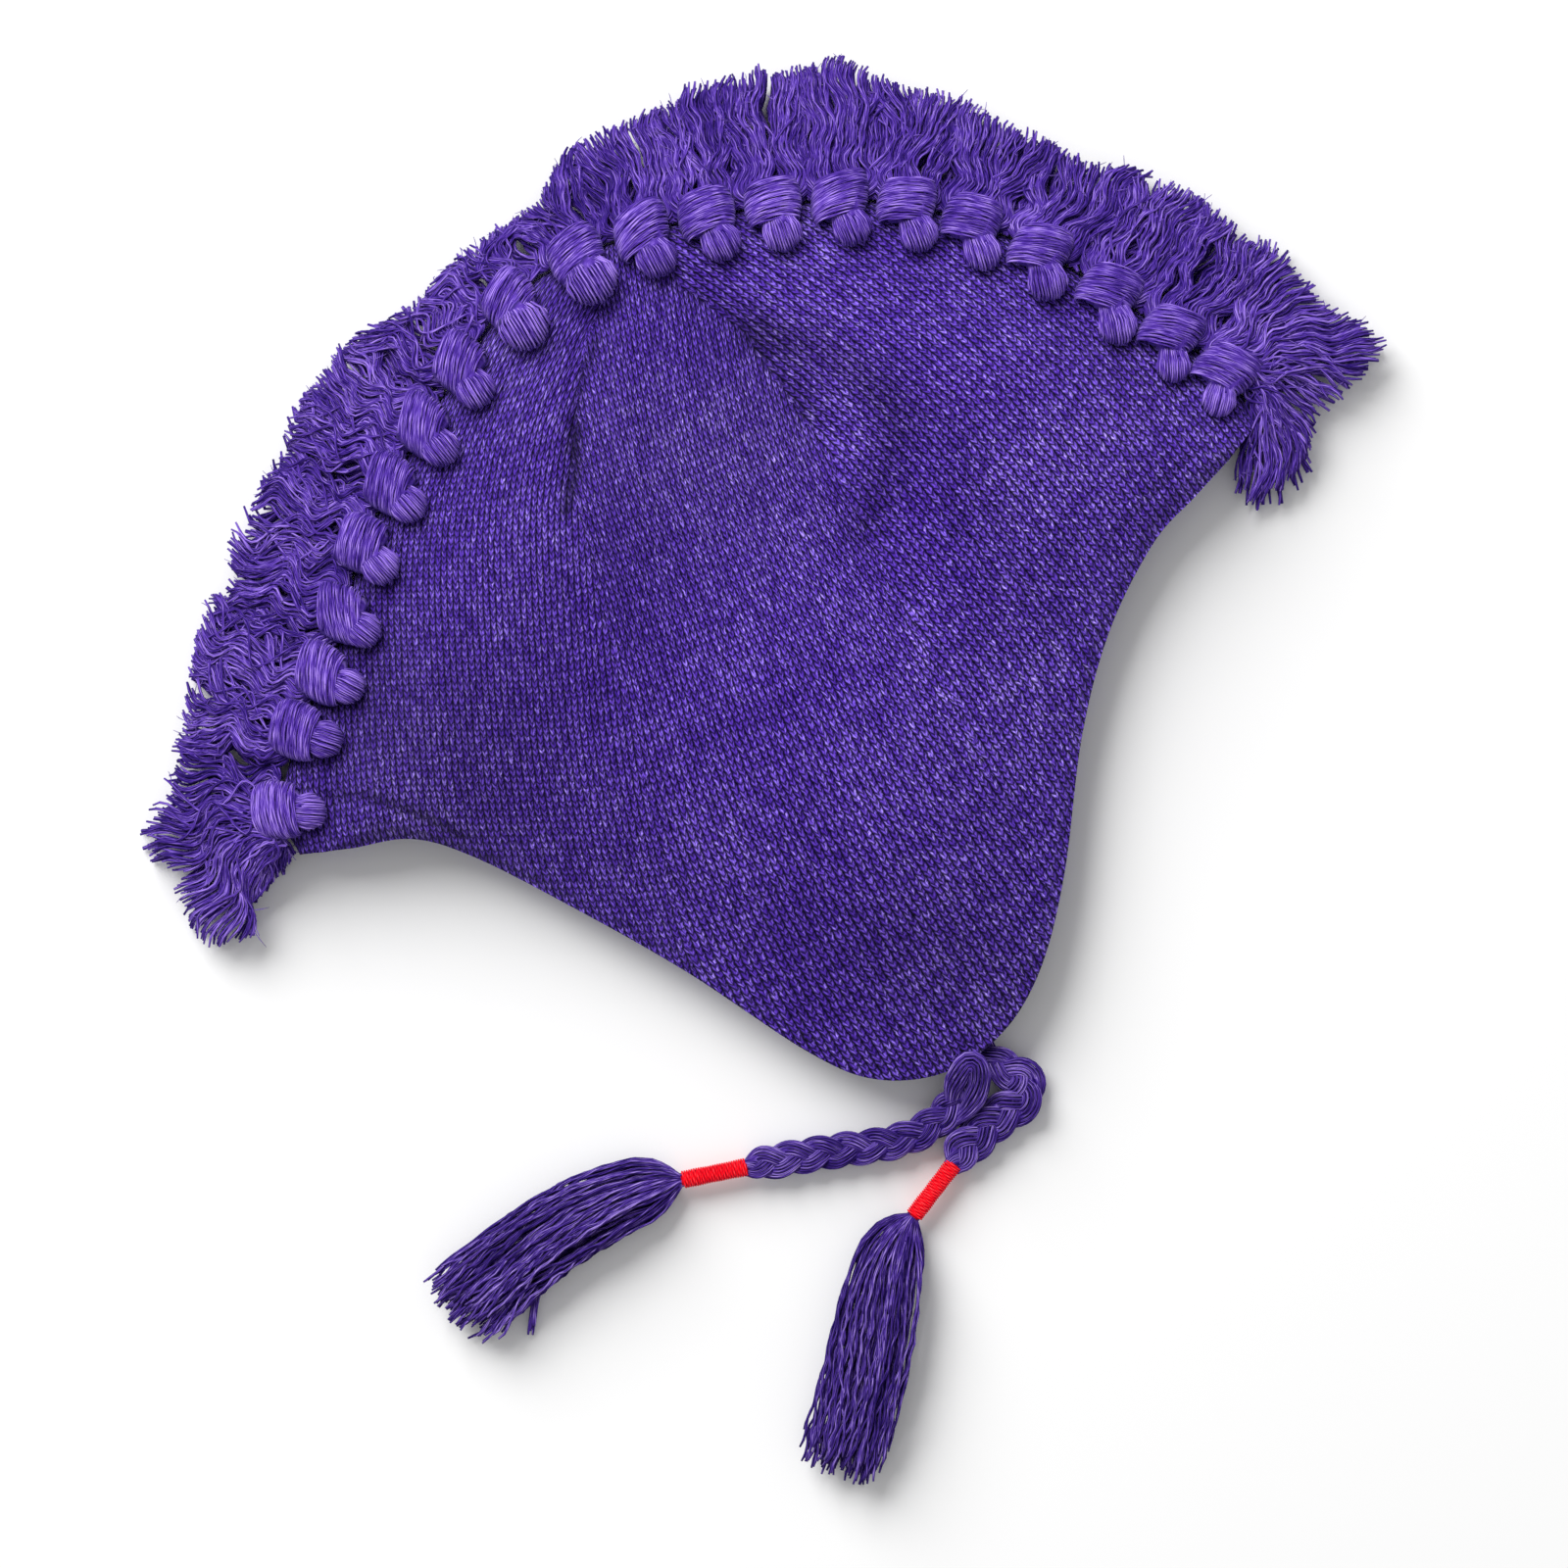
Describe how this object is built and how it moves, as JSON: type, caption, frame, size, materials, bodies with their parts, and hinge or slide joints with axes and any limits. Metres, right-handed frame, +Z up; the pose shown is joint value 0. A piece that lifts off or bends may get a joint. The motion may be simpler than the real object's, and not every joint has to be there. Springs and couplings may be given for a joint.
{
  "type": "knitted ear-flap beanie",
  "caption": "Knitted beanie lying flat, folded front to back, with a knotted fringe along its crown ridge and a braided, tasselled tie on each ear flap.",
  "frame": {"origin": "underside of the far side, at the middle of the hem line, on the surface that the hat lies on", "axes": "+X along the hem line from the front to the back, +Y from the hem to the crown ridge, +Z up"},
  "size_m": [0.3414, 0.3451, 0.0291],
  "materials": {
    "knit": "matte heathered knit",
    "fringe_yarn": "matte wool yarn",
    "tie_yarn": "matte wool yarn",
    "red_thread": "fine wound thread with a soft sheen"
  },
  "bodies": {
    "root": {"knit_body": "knit", "knot_01": "fringe_yarn", "knot_02": "fringe_yarn", "knot_03": "fringe_yarn", "knot_04": "fringe_yarn", "knot_05": "fringe_yarn", "knot_06": "fringe_yarn", "knot_07": "fringe_yarn", "knot_08": "fringe_yarn", "knot_09": "fringe_yarn", "knot_10": "fringe_yarn", "knot_11": "fringe_yarn", "knot_12": "fringe_yarn", "knot_13": "fringe_yarn", "knot_14": "fringe_yarn", "knot_15": "fringe_yarn", "knot_16": "fringe_yarn", "knot_17": "fringe_yarn", "knot_18": "fringe_yarn", "knot_19": "fringe_yarn", "knot_20": "fringe_yarn", "tie_near": "tie_yarn", "tie_far": "tie_yarn", "tassel_near": "tie_yarn", "tassel_far": "tie_yarn", "wrap_near": "red_thread", "wrap_far": "red_thread"}
  },
  "joints": []
}
